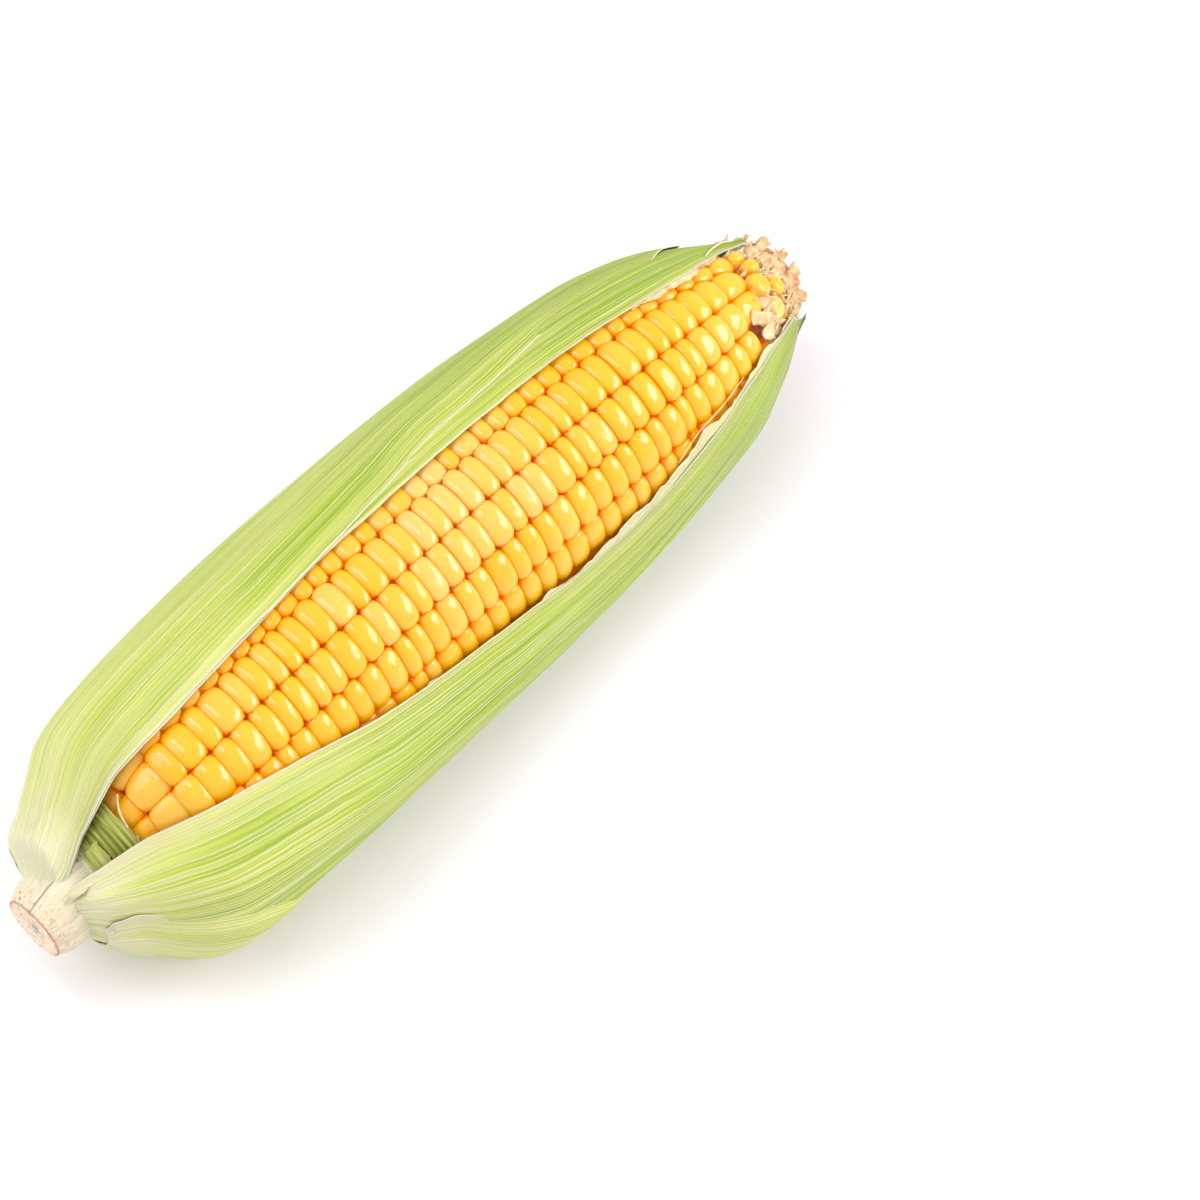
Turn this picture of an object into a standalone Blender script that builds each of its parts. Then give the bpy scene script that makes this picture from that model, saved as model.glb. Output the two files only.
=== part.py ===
"""A fresh ear of sweet corn lying on its husk, opened along one side so that the kernels show.

The ear points along +X, from the cut end of its stem to its tip, and rests on z = 0. The opening
in the husk faces up and towards -Y. Every piece is placed around one gently bowed axis by a
station (distance from the cut end), an angle (0 is up, 90 degrees is towards -Y) and a radius.
"""

import math

import bmesh
import bpy

MM = 0.001

# Driving dimensions
EAR_LENGTH = 222 * MM  # cut end of the stem to the tip
AXIS_Y = -1.71 * MM  # lateral place of the axis at both ends, which centres the object's box
AXIS_Z = 28.8 * MM  # height of the axis above the surface
BOW = 4.6 * MM  # the axis bends this far towards +Y at mid length
GAP = 0.45 * MM  # clearance between neighbouring pieces

# Kernels
ROWS = 16
ROW_STEP = 360 / ROWS
KERNEL_PITCH = 4.75 * MM  # thickness of a kernel along the ear, away from the butt
BUTT_PITCH_EXTRA = 3.9 * MM  # the first kernels at the butt are this much thicker
BUTT_FADE = 10 * MM  # length over which that extra thickness fades out
TIP_PITCH_EXTRA = 1.6 * MM  # the last kernels at the tip are this much thicker
TIP_PITCH_START = 182 * MM
TIP_PITCH_END = 206 * MM
FIRST_KERNEL = 24.5 * MM
LAST_KERNEL = 206.5 * MM
GROOVE = 1.5 * MM  # depth of the valley between two kernels of a row
COB_RADIUS = 12.3 * MM

# Husk
LEAF_START = 7 * MM  # the leaves grow from the stem here
LEAF_THICKNESS = 0.4 * MM
LAYER_STEP = 1.0 * MM  # from one husk layer to the next
HUSK_LIFT = 0.75 * MM  # middle of the innermost layer above the kernels
COLUMN_ANGLE = 9  # degrees between the columns of a leaf
OPENING_MIDDLE = 33  # degrees, the middle of the opening in the husk

# Outlines, as (station, radius) in millimetres
EAR_OUTLINE = ((24, 13), (27, 17.2), (31, 21), (38, 24.4), (50, 25.7), (160, 25.7), (178, 24.5),
               (190, 22.2), (200, 18.9), (208, 14.9), (214, 11.6), (222, 7.6))
COB_OUTLINE = ((19, 7.6), (22, 11), (25, 12.3), (208, 12.3), (213, 11.4), (217, 9.9), (220, 7.8),
               (221.4, 5.8), (222, 4))
SHANK_OUTLINE = ((0, 7.2), (2.7, 8.2), (6, 9), (6.5, 9), (6.7, 6.2), (13, 6), (18.4, 7))
INNER_OUTLINE = ((7, 6.9), (16, 10.8), (24, 17), (30, 21.4), (38, 24.6), (50, 25.8), (160, 25.8),
                 (178, 24.5), (190, 22.2), (200, 18.9), (208, 14.9), (213, 12.2), (218, 10.3), (222, 9.2))
UPPER_HUSK = ((7, 10.5), (9.1, 17.2), (13.7, 19.5), (20, 23.2), (28, 27.7), (37, 29.4), (52, 30.4),
              (84, 31.1), (115, 30.7), (140, 30.2), (162, 28.7), (186, 25.5), (197.5, 22.8),
              (203, 20.2), (207, 17.7), (212, 15.5), (219, 12.9))
LOWER_HUSK = ((7, 9.7), (9.2, 12.4), (10.4, 15), (15.4, 20.5), (21.6, 27.2), (26, 30.3), (33, 32.9),
              (41, 33.9), (52, 34.6), (73, 35.3), (106, 35.1), (140, 34.1), (163, 31.3), (180, 28.4),
              (192, 25.7), (202, 21.1), (208, 18), (213, 15), (219.5, 10))

# Edges of the opening, as (station in millimetres, angle in degrees)
UPPER_EDGE = ((7, 14), (9.5, 11), (13.5, 2), (18, -5), (26, -5), (36, -2), (45, -1), (68, -3.5),
              (98, -8), (140, -8.5), (165, -7), (184, -5), (194, -5.5), (202, -10), (212, -20), (218, -24))
LOWER_EDGE = ((7, 14.5), (9.5, 19), (16, 27.5), (25, 33), (34, 39), (54, 50), (77, 65), (86, 70),
              (100, 75.5), (122, 81.5), (134, 86), (146, 86.5), (156, 83.5), (178, 73), (190, 67),
              (200, 65.5), (210, 70), (217.5, 98))

STATIONS = (7, 8, 9.2, 10.6, 13, 16, 19, 22, 25, 28, 31.5, 35.5, 40, 45, 50.5, 57, 66, 80, 98, 118, 138,
            156, 170, 180, 188, 196, 203, 210, 216)


def clear_scene():
    for obj in list(bpy.data.objects):
        bpy.data.objects.remove(obj)


def curve_through(knots):
    """A smooth function through (position, value) knots that never overshoots them."""

    def slope(i):
        if i in (0, len(knots) - 1):
            return 0.0
        (x0, y0), (x1, y1), (x2, y2) = knots[i - 1 : i + 2]
        before = (y1 - y0) / (x1 - x0)
        after = (y2 - y1) / (x2 - x1)
        if before * after <= 0:
            return 0.0
        return 2 * before * after / (before + after)

    def value(x):
        if x <= knots[0][0]:
            return knots[0][1]
        for i in range(len(knots) - 1):
            (x0, y0), (x1, y1) = knots[i], knots[i + 1]
            if x <= x1:
                break
        else:
            return knots[-1][1]
        span = x1 - x0
        t = (x - x0) / span
        start = (2 * t**3 - 3 * t**2 + 1) * y0 + (t**3 - 2 * t**2 + t) * span * slope(i)
        end = (-2 * t**3 + 3 * t**2) * y1 + (t**3 - t**2) * span * slope(i + 1)
        return start + end

    return value


def outline(knots):
    """A radius in metres from a station in metres, through knots in millimetres."""
    radius = curve_through(knots)
    return lambda station: radius(station / MM) * MM


def edge(knots):
    """An angle in degrees from a station in metres, through (millimetre, degree) knots."""
    angle = curve_through(knots)
    return lambda station: angle(station / MM)


ear_radius = outline(EAR_OUTLINE)
cob_radius = outline(COB_OUTLINE)
shank_radius = outline(SHANK_OUTLINE)
inner_radius = outline(INNER_OUTLINE)
upper_husk_radius = outline(UPPER_HUSK)
lower_husk_radius = outline(LOWER_HUSK)
upper_edge = edge(UPPER_EDGE)
lower_edge = edge(LOWER_EDGE)


def smooth_step(t):
    t = min(max(t, 0.0), 1.0)
    return t * t * (3 - 2 * t)


def place(station, angle, radius):
    """A world point from its station, its angle in degrees and its radius about the bowed axis."""
    along = 2 * station / EAR_LENGTH - 1
    turn = math.radians(angle)
    x = station - EAR_LENGTH / 2
    y = AXIS_Y + BOW * (1 - along * along) - radius * math.sin(turn)
    z = AXIS_Z + radius * math.cos(turn)
    return (x, y, z)


def from_opening(angle):
    """The same angle, within half a turn of the opening's middle."""
    return (angle - OPENING_MIDDLE + 180) % 360 + OPENING_MIDDLE - 180


def swelling(station, angle):
    """How far the husk stands off the kernels there, from 0 at the opening to 1 round the back."""
    angle = from_opening(angle)
    upper = smooth_step((upper_edge(station) - angle) / 50)
    lower = smooth_step((angle - lower_edge(station)) / 32)
    under = 1 - 0.4 * smooth_step(1 - abs(abs(angle) - 180) / 40)
    return max(upper, lower) * under


def husk_radius(station, angle):
    """Radius of the outermost husk layer where it stands off fully, fuller on the lower side."""
    angle = from_opening(angle)
    lower = lower_husk_radius(station)
    upper = upper_husk_radius(station)
    if angle < OPENING_MIDDLE:
        return upper
    return lower + (upper - lower) * smooth_step((angle - 150) / 60)


def leaf_radius(station, angle, layer):
    """Radius of the middle of a husk layer, 0 innermost, which lies flatter where it is pressed."""
    inner = inner_radius(station) + HUSK_LIFT
    room = husk_radius(station, angle) - inner - 2 * LAYER_STEP
    return inner + layer * LAYER_STEP + max(room, 0.0) * swelling(station, angle)


def material(name, colour, roughness):
    made = bpy.data.materials.get(name)
    if made is None:
        made = bpy.data.materials.new(name)
        made.use_nodes = True
        shader = made.node_tree.nodes["Principled BSDF"]
        shader.inputs["Base Color"].default_value = (*colour, 1)
        shader.inputs["Roughness"].default_value = roughness
        shader.inputs["Metallic"].default_value = 0.0
    return made


def kernel_material():
    return material("ripe_kernel", (0.98, 0.60, 0.05), 0.3)


def cob_material():
    return material("cob_chaff", (0.78, 0.56, 0.30), 0.8)


def shank_material():
    return material("pale_stem", (0.84, 0.72, 0.46), 0.6)


def green_material():
    return material("green_husk", (0.44, 0.58, 0.14), 0.55)


def pale_material():
    return material("pale_husk", (0.72, 0.70, 0.32), 0.6)


def silk_material():
    return material("corn_silk", (0.90, 0.80, 0.52), 0.5)


def closed_tube(name, rings, finish, smooth=True):
    """One closed solid through rings of points that all turn the same way, with flat end caps."""
    mesh = bpy.data.meshes.new(name)
    bm = bmesh.new()
    made = [[bm.verts.new(point) for point in ring] for ring in rings]
    count = len(made[0])
    for near, far in zip(made, made[1:]):
        for i in range(count):
            after = (i + 1) % count
            bm.faces.new((near[i], near[after], far[after], far[i]))
    bm.faces.new(made[0])
    bm.faces.new(made[-1])
    bmesh.ops.recalc_face_normals(bm, faces=bm.faces)
    bmesh.ops.triangulate(bm, faces=bm.faces)
    bm.to_mesh(mesh)
    bm.free()
    if smooth:
        mesh.shade_smooth()
        mesh.set_sharp_from_angle(angle=math.radians(40))
    mesh.materials.append(finish)
    obj = bpy.data.objects.new(name, mesh)
    bpy.context.scene.collection.objects.link(obj)
    return obj


def make_turned(name, radius, stations, sides, finish):
    """A round solid about the ear's axis, such as the cob or the shank."""
    rings = []
    for station in stations:
        ring = [place(station * MM, 360 * i / sides, radius(station * MM)) for i in range(sides)]
        rings.append(ring)
    return closed_tube(name, rings, finish)


def make_cob():
    stations = (19, 20.5, 22, 25, 70, 115, 160, 208, 213, 217, 220, 221.4, 222)
    return make_turned("cob", cob_radius, stations, 16, cob_material())


def make_shank():
    stations = (0, 0.8, 2.7, 4.8, 6.5, 6.7, 13, 18.5)
    return make_turned("shank", shank_radius, stations, 20, shank_material())


def kernel_stations(row):
    """Valley and crown stations along a row. Every second row is shifted by half a kernel."""

    def pitch(station):
        butt = BUTT_PITCH_EXTRA * math.exp((FIRST_KERNEL - station) / BUTT_FADE)
        tip = (station - TIP_PITCH_START) / (TIP_PITCH_END - TIP_PITCH_START)
        return KERNEL_PITCH + butt + TIP_PITCH_EXTRA * smooth_step(tip)

    ends = [FIRST_KERNEL + 0.3 * MM * (row % 3)]
    step = pitch(ends[0]) * (0.62 if row % 2 else 1.0)
    while ends[-1] + step < LAST_KERNEL:
        ends.append(ends[-1] + step)
        step = pitch(ends[-1])
    marks = [(ends[0], False)]
    for start, stop in zip(ends, ends[1:]):
        marks.append(((start + stop) / 2, True))
        marks.append((stop, False))
    return marks


def make_kernel_row(row):
    """One row of kernels, joined side by side: a crown between each two valleys."""
    foot_radius = COB_RADIUS + GAP
    foot_angle = ROW_STEP / 2 - math.degrees(GAP / 2 / foot_radius)
    middle = ROW_STEP * (row + 0.5)
    rings = []
    for station, crown in kernel_stations(row):
        top = ear_radius(station) - (0 if crown else GROOVE)
        top = max(top, foot_radius + 0.8 * MM)
        top_angle = (ROW_STEP / 2 - math.degrees(GAP / 2 / top)) * (1.0 if crown else 0.86)
        rings.append(
            (
                place(station, middle - foot_angle, foot_radius),
                place(station, middle - top_angle, top),
                place(station, middle + top_angle, top),
                place(station, middle + foot_angle, foot_radius),
            )
        )
    return closed_tube(f"kernel_row_{row + 1:02d}", rings, kernel_material(), smooth=False)


def pressed(point, clearance):
    """The point, kept at least this high above the surface that the ear lies on."""
    x, y, z = point
    return (x, y, max(z, clearance))


def make_leaf(name, layer, span, low, high, finish):
    """A husk leaf: a curved sheet between two edges, whose angles are low and high."""
    start, stop = span
    stations = [start, *(s for s in STATIONS if start + 0.8 < s < stop - 0.8), stop]
    widest = max(high(s * MM) - low(s * MM) for s in stations)
    columns = math.ceil(widest / COLUMN_ANGLE)
    floor = (2 - layer) * LAYER_STEP
    rings = []
    for mark in stations:
        station = mark * MM
        first, last = low(station), high(station)
        angles = [first + (last - first) * i / columns for i in range(columns + 1)]
        outer, inner = [], []
        for angle in angles:
            radius = leaf_radius(station, angle, layer)
            outward = place(station, angle, radius + LEAF_THICKNESS / 2)
            inward = place(station, angle, radius - LEAF_THICKNESS / 2)
            outer.append(pressed(outward, floor))
            inner.append(pressed(inward, floor + LEAF_THICKNESS))
        rings.append(outer + inner[::-1])
    return closed_tube(name, rings, finish, smooth=False)


def make_upper_leaves():
    """The two leaves beside the opening's upper edge, which wrap round the back."""
    start = LEAF_START / MM
    inner_back = edge(((start, -150), (150, -150), (190, -142), (208, -115), (218, -92)))
    make_leaf("husk_upper_inner", 0, (start, 218), inner_back, upper_edge, pale_material())
    outer_back = edge(((start, -155), (150, -155), (190, -140), (205, -95)))
    outer_front = edge(((start, 10), (9.5, 9), (13.5, 1), (18, -6), (26, -6), (36, -3), (45, -2), (68, -4.5),
                        (96, -9), (112, -12.5), (128, -18), (144, -19.5), (167, -24.5), (191, -27),
                        (205, -50)))
    make_leaf("husk_upper_outer", 1, (start, 205), outer_back, outer_front, green_material())


def make_lower_leaves():
    """The papery inner leaf and the green leaf beside the opening's lower edge."""
    inner_front = edge(((30, 39), (54, 53), (77, 68), (100, 78), (122, 83.5), (134, 84), (146, 83),
                        (156, 80), (178, 69.5), (200, 62), (212, 68)))
    inner_back = edge(((30, 180), (150, 180), (190, 165), (212, 130)))
    make_leaf("husk_lower_inner", 0, (30, 212), inner_front, inner_back, pale_material())
    start = LEAF_START / MM
    main_back = edge(((start, 196), (150, 196), (190, 182), (208, 150), (217.5, 112)))
    make_leaf("husk_lower_outer", 1, (start, 217.5), lower_edge, main_back, green_material())


def make_back_leaf():
    """The outermost leaf, which the ear lies on."""
    front = edge(((9.2, 78), (10.5, 67), (13.7, 65), (18, 70), (26, 76), (33, 83), (41, 94), (48, 108),
                  (60, 125), (80, 134), (150, 146), (190, 160), (211, 172)))
    back = edge(((9.2, 262), (30, 260), (100, 255), (150, 248), (190, 228), (211, 205)))
    make_leaf("husk_back", 2, (9.2, 211), front, back, green_material())


def make_leaf_stub():
    """The short torn leaf that shows in the opening between the stem and the first kernels."""
    stub_radius = outline(((10, 7.3), (14, 8.2), (20, 12), (24, 14.6)))
    columns = 6
    first, last = -28, 58
    rings = []
    for mark in (10, 13, 16, 19, 21.5, 23.9):
        station = mark * MM
        radius = stub_radius(station)
        angles = [first + (last - first) * i / columns for i in range(columns + 1)]
        outer = [place(station, angle, radius + LEAF_THICKNESS / 2) for angle in angles]
        inner = [place(station, angle, radius - LEAF_THICKNESS / 2) for angle in angles]
        rings.append(outer + inner[::-1])
    return closed_tube("husk_stub", rings, pale_material(), smooth=False)


def make_silk(name, route):
    """A strand of silk through (station in millimetres, angle, height above the kernels) points."""
    count = 12
    strand_radius = 0.25 * MM
    station_at = curve_through([(i, p[0]) for i, p in enumerate(route)])
    angle_at = curve_through([(i, p[1]) for i, p in enumerate(route)])
    height_at = curve_through([(i, p[2]) for i, p in enumerate(route)])
    curve = bpy.data.curves.new(name, "CURVE")
    curve.dimensions = "3D"
    curve.bevel_depth = strand_radius
    curve.bevel_resolution = 0
    curve.use_fill_caps = True
    curve.materials.append(silk_material())
    line = curve.splines.new("POLY")
    line.points.add(count - 1)
    for i in range(count):
        t = i * (len(route) - 1) / (count - 1)
        station = station_at(t) * MM
        radius = ear_radius(station) + height_at(t) * MM
        line.points[i].co = (*place(station, angle_at(t), radius), 1)
    obj = bpy.data.objects.new(name, curve)
    bpy.context.scene.collection.objects.link(obj)
    return obj


def make_silks():
    make_silk("silk_strand_butt", ((29.5, 3, 1.2), (27.5, 9, 1.6), (26.5, 16, 2.2), (26.5, 23, 2.2)))
    make_silk("silk_strand_tip", ((203, -14, 1.7), (207, -24, 1.9), (211, -34, 2.1), (215, -38, 2.2)))
    make_silk("silk_strand_side", ((166, 67, 1.0), (174, 61, 0.8), (183, 60, 0.9), (190, 58, 1.0)))


def main():
    clear_scene()
    make_shank()
    make_cob()
    for row in range(ROWS):
        make_kernel_row(row)
    make_upper_leaves()
    make_lower_leaves()
    make_back_leaf()
    make_leaf_stub()
    make_silks()


main()
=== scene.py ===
"""The looks of a fresh ear of sweet corn in its opened husk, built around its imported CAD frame.

Shapes are worked out in millimetres. Every point has a station (distance from the cut end of the
stem), an angle round the ear (0 is up, 90 degrees is towards -Y) and a radius about the bowed axis.
"""

import math

import bpy
import numpy as np
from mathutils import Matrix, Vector


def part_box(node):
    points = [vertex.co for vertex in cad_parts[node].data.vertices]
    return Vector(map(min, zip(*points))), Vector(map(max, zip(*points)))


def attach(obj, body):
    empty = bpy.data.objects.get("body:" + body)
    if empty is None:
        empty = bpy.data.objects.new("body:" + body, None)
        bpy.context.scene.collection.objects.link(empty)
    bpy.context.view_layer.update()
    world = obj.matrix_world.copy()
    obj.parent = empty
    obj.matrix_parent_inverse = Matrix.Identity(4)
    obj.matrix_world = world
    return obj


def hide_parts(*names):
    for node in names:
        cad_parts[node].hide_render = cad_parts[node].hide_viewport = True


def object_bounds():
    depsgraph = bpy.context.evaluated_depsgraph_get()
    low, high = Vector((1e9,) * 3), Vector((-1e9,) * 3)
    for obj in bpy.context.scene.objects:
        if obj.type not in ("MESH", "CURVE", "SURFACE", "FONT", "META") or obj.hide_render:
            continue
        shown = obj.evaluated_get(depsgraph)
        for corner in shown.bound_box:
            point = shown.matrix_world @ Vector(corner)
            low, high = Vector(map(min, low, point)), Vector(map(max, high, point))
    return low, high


MM = 0.001

FACE_DEPTH = 0.1  # the points of the cut face lie this close to the end of the stem
SEED = 20

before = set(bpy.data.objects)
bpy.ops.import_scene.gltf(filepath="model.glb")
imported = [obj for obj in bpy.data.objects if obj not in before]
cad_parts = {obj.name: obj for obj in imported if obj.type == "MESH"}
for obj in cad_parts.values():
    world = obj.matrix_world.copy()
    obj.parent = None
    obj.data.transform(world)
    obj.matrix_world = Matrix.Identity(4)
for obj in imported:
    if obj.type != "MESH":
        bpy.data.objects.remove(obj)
cad_low, cad_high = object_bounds()

# From the frame: the ear's length, the middle of its cut face and the number of kernel rows
LENGTH = (cad_high.x - cad_low.x) / MM
low_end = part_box("shank")[0].x + FACE_DEPTH * MM
cut_face = [v.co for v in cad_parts["shank"].data.vertices if v.co.x < low_end]
AXIS_Y = sum(co.y for co in cut_face) / len(cut_face) / MM
AXIS_Z = sum(co.z for co in cut_face) / len(cut_face) / MM
ROWS = sum(node.startswith("kernel_row_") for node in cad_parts)
ROW_STEP = 360 / ROWS

# The ear's bend, the kernels and the husk layers, as in the CAD model
BOW = 4.6  # how far the middle of the ear's axis bends towards +Y
KERNEL_PITCH = 4.75  # thickness of a kernel along the ear
BUTT_PITCH_EXTRA = 3.9  # the first kernels are this much thicker
BUTT_FADE = 10  # length over which that fades out
TIP_PITCH_EXTRA = 1.6  # the last kernels are this much thicker
TIP_PITCH_START = 182
TIP_PITCH_END = 206
FIRST_KERNEL = 24.5
COB_RADIUS = 12.75
LEAF_THICKNESS = 0.4
LAYER_STEP = 1.0  # from one husk layer to the next
HUSK_LIFT = 0.75  # from the kernels to the middle of the innermost layer
OPENING_MIDDLE = 33  # angle

rng = np.random.default_rng(SEED)


# ---------------------------------------------------------------- curves and noise


def curve_through(knots):
    """A smooth function of an array, through (position, value) knots, that never overshoots."""
    xs, ys = np.array(knots, float).T
    rise = np.diff(ys) / np.diff(xs)
    slopes = np.zeros(len(xs))
    for i in range(1, len(xs) - 1):
        if rise[i - 1] * rise[i] > 0:
            slopes[i] = 2 * rise[i - 1] * rise[i] / (rise[i - 1] + rise[i])

    def value(x):
        x = np.clip(np.asarray(x, float), xs[0], xs[-1])
        i = np.clip(np.searchsorted(xs, x, side="right") - 1, 0, len(xs) - 2)
        span = xs[i + 1] - xs[i]
        t = (x - xs[i]) / span
        start = (2 * t**3 - 3 * t**2 + 1) * ys[i] + (t**3 - 2 * t**2 + t) * span * slopes[i]
        stop = (3 * t**2 - 2 * t**3) * ys[i + 1] + (t**3 - t**2) * span * slopes[i + 1]
        return start + stop

    return value


def smooth_step(t):
    """From 0 to 1, level at both ends."""
    t = np.clip(t, 0, 1)
    return t * t * (3 - 2 * t)


def waves(count, longest, shortest):
    """A smooth random function of one variable, about -1 to 1, made of waves of those lengths."""
    lengths = np.geomspace(longest, shortest, count)
    shifts = rng.uniform(0, 2 * math.pi, count)
    weights = lengths**0.7
    weights /= weights.sum()

    def value(x):
        x = np.asarray(x, float)[..., None]
        return (np.sin(2 * math.pi * x / lengths + shifts) * weights).sum(-1) * 1.6

    return value


# Radii by station: the kernels' crowns, the cob, the stem, the inside of the husk and its outside on
# either side of the opening. Then the angles of the opening's two edges.
ear_radius = curve_through(((24, 13), (27, 17.2), (31, 21), (38, 24.4), (50, 25.7), (160, 25.7),
    (178, 24.5), (190, 22.2), (200, 18.9), (208, 14.9), (214, 11.6), (222, 7.6)))
cob_radius = curve_through(((19, 7.6), (22, 11), (25, 12.3), (208, 12.3), (213, 11.4), (217, 9.9),
    (220, 7.8), (221.4, 5.8), (222, 4)))
stem_radius = curve_through(((0, 7.2), (2.7, 8.2), (6, 9), (9, 9.2), (14, 8.4), (18.4, 7.4)))
inner_radius = curve_through(((7, 6.9), (16, 10.8), (24, 17), (30, 21.4), (38, 24.6), (50, 25.8),
    (160, 25.8), (178, 24.5), (190, 22.2), (200, 18.9), (208, 14.9), (213, 12.2), (218, 10.3),
    (222, 9.2)))
upper_husk_radius = curve_through(((7, 10.5), (9.1, 17.2), (13.7, 19.5), (20, 23.2), (28, 27.7),
    (37, 29.4), (52, 30.4), (84, 31.1), (115, 30.7), (140, 30.2), (162, 28.7), (186, 25.5),
    (197.5, 22.8), (203, 20.2), (207, 17.7), (212, 15.5), (219, 12.9)))
lower_husk_radius = curve_through(((7, 9.7), (9.2, 12.4), (10.4, 15), (15.4, 20.5), (21.6, 27.2),
    (26, 30.3), (33, 32.9), (41, 33.9), (52, 34.6), (73, 35.3), (106, 35.1), (140, 34.1), (163, 31.3),
    (180, 28.4), (192, 25.7), (202, 21.1), (208, 18), (213, 15), (219.5, 10)))
upper_edge = curve_through(((7, 14), (9.5, 11), (13.5, 2), (18, -5), (26, -5), (36, -2), (45, -1),
    (68, -3.5), (98, -8), (140, -8.5), (165, -7), (184, -5), (194, -5.5), (202, -10), (212, -20),
    (218, -24)))
lower_edge = curve_through(((7, 14.5), (9.5, 19), (16, 27.5), (25, 33), (34, 39), (54, 50), (77, 65),
    (86, 70), (100, 75.5), (122, 81.5), (134, 86), (146, 86.5), (156, 83.5), (178, 73), (190, 67),
    (200, 65.5), (210, 70), (217.5, 98)))


def place(station, angle, radius):
    """Points in millimetres from their stations, angles in degrees and radii."""
    station, angle, radius = np.broadcast_arrays(station, angle, radius)
    along = 2 * station / LENGTH - 1
    turn = np.radians(angle)
    x = station - LENGTH / 2
    y = AXIS_Y + BOW * (1 - along**2) - radius * np.sin(turn)
    z = AXIS_Z + radius * np.cos(turn)
    return np.stack((x, y, z), -1)


def from_opening(angle):
    """The same angle, within half a turn of the opening's middle."""
    return (angle - OPENING_MIDDLE + 180) % 360 + OPENING_MIDDLE - 180


def swelling(station, angle):
    """How far the husk stands off the kernels there, from 0 at the opening to 1 round the back."""
    angle = from_opening(angle)
    upper = smooth_step((upper_edge(station) - angle) / 50)
    lower = smooth_step((angle - lower_edge(station)) / 32)
    under = 1 - 0.4 * smooth_step(1 - abs(abs(angle) - 180) / 40)
    return np.maximum(upper, lower) * under


def husk_radius(station, angle):
    """Radius of the outermost husk layer where it stands off fully, fuller on the lower side."""
    angle = from_opening(angle)
    side = np.where(angle < OPENING_MIDDLE, 1.0, smooth_step((angle - 150) / 60))
    lower = lower_husk_radius(station)
    return lower + (upper_husk_radius(station) - lower) * side


def leaf_radius(station, angle, layer):
    """Radius of the middle of a husk layer, 0 innermost."""
    inner = inner_radius(station) + HUSK_LIFT
    room = np.maximum(husk_radius(station, angle) - inner - 2 * LAYER_STEP, 0)
    return inner + layer * LAYER_STEP + room * swelling(station, angle)


# ---------------------------------------------------------------- meshes


def make_mesh(name, points, faces, material, uv=None, values=None):
    """A mesh object from points in millimetres and arrays of faces. uv and values are per point."""
    mesh = bpy.data.meshes.new(name)
    points = np.asarray(points, float)
    corners = np.concatenate([np.asarray(f, int).ravel() for f in faces])
    sizes = np.concatenate([np.full(len(f), np.asarray(f).shape[1]) for f in faces])
    mesh.vertices.add(len(points))
    mesh.vertices.foreach_set("co", (points * MM).ravel())
    mesh.loops.add(len(corners))
    mesh.loops.foreach_set("vertex_index", corners)
    mesh.polygons.add(len(sizes))
    mesh.polygons.foreach_set("loop_start", np.concatenate(([0], np.cumsum(sizes)[:-1])))
    mesh.update(calc_edges=True)
    if uv is not None:
        layer = mesh.uv_layers.new(name="leaf")
        layer.uv.foreach_set("vector", np.asarray(uv, float).reshape(-1, 2)[corners].ravel())
    for key, value in (values or {}).items():
        attribute = mesh.attributes.new(key, "FLOAT", "POINT")
        attribute.data.foreach_set("value", np.asarray(value, np.float32).ravel())
    mesh.shade_smooth()
    mesh.materials.append(material)
    obj = bpy.data.objects.new(name, mesh)
    bpy.context.scene.collection.objects.link(obj)
    return obj


def stand_for(piece, node):
    """The piece takes the place of a CAD node, which is hidden."""
    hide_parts(node)
    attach(piece, "root")


def add_trim(piece):
    """A piece beyond the CAD nodes, such as chaff."""
    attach(piece, "root")


def grid_faces(rows, columns, start=0, wrap=False):
    """Quads of a grid of points, facing outwards when rows go along +X and columns round the ear."""
    i, j = np.meshgrid(np.arange(rows - 1), np.arange(columns if wrap else columns - 1), indexing="ij")
    after = (j + 1) % columns
    here, ahead = i * columns, (i + 1) * columns
    return start + np.stack((here + j, here + after, ahead + after, ahead + j), -1).reshape(-1, 4)


def sheet_faces(rows, columns):
    """Faces of a closed sheet whose outer grid of points is followed by its inner grid."""
    outer = grid_faces(rows, columns)
    inner = grid_faces(rows, columns, rows * columns)[:, ::-1]
    index = np.arange(rows * columns).reshape(rows, columns)
    rim = np.concatenate((index[0, :], index[1:, -1], index[-1, -2::-1], index[-2:0:-1, 0]))
    after = np.roll(rim, -1)
    below = rows * columns
    wall = np.stack((after, rim, rim + below, after + below), -1)
    return [outer, inner, wall]


def closed_rings(rings, start=0):
    """Faces of a closed body made of rings of points, then its top and its bottom point."""
    levels, count = rings.shape[:2]
    quads = grid_faces(levels, count, start, wrap=True)
    i = np.arange(count)
    after = (i + 1) % count
    top = start + levels * count
    last = top - count
    cap = np.stack((start + after, start + i, np.full_like(i, top)), -1)
    foot = np.stack((last + i, last + after, np.full_like(i, top + 1)), -1)
    return quads, cap, foot


def point_list(*parts):
    """Points in arrays of any shape, as one list."""
    return np.concatenate([np.asarray(part).reshape(-1, 3) for part in parts])


def make_sheet(name, outer, inner, material, uv, values):
    """A closed sheet between two grids of points. uv and values are those of one grid."""
    rows, columns = outer.shape[:2]

    def twice(grid):
        return np.tile(grid.reshape(rows * columns, -1), (2, 1))

    values = {key: twice(value) for key, value in values.items()}
    faces = sheet_faces(rows, columns)
    return make_mesh(name, point_list(outer, inner), faces, material, uv=twice(uv), values=values)


# ---------------------------------------------------------------- material nodes


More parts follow.
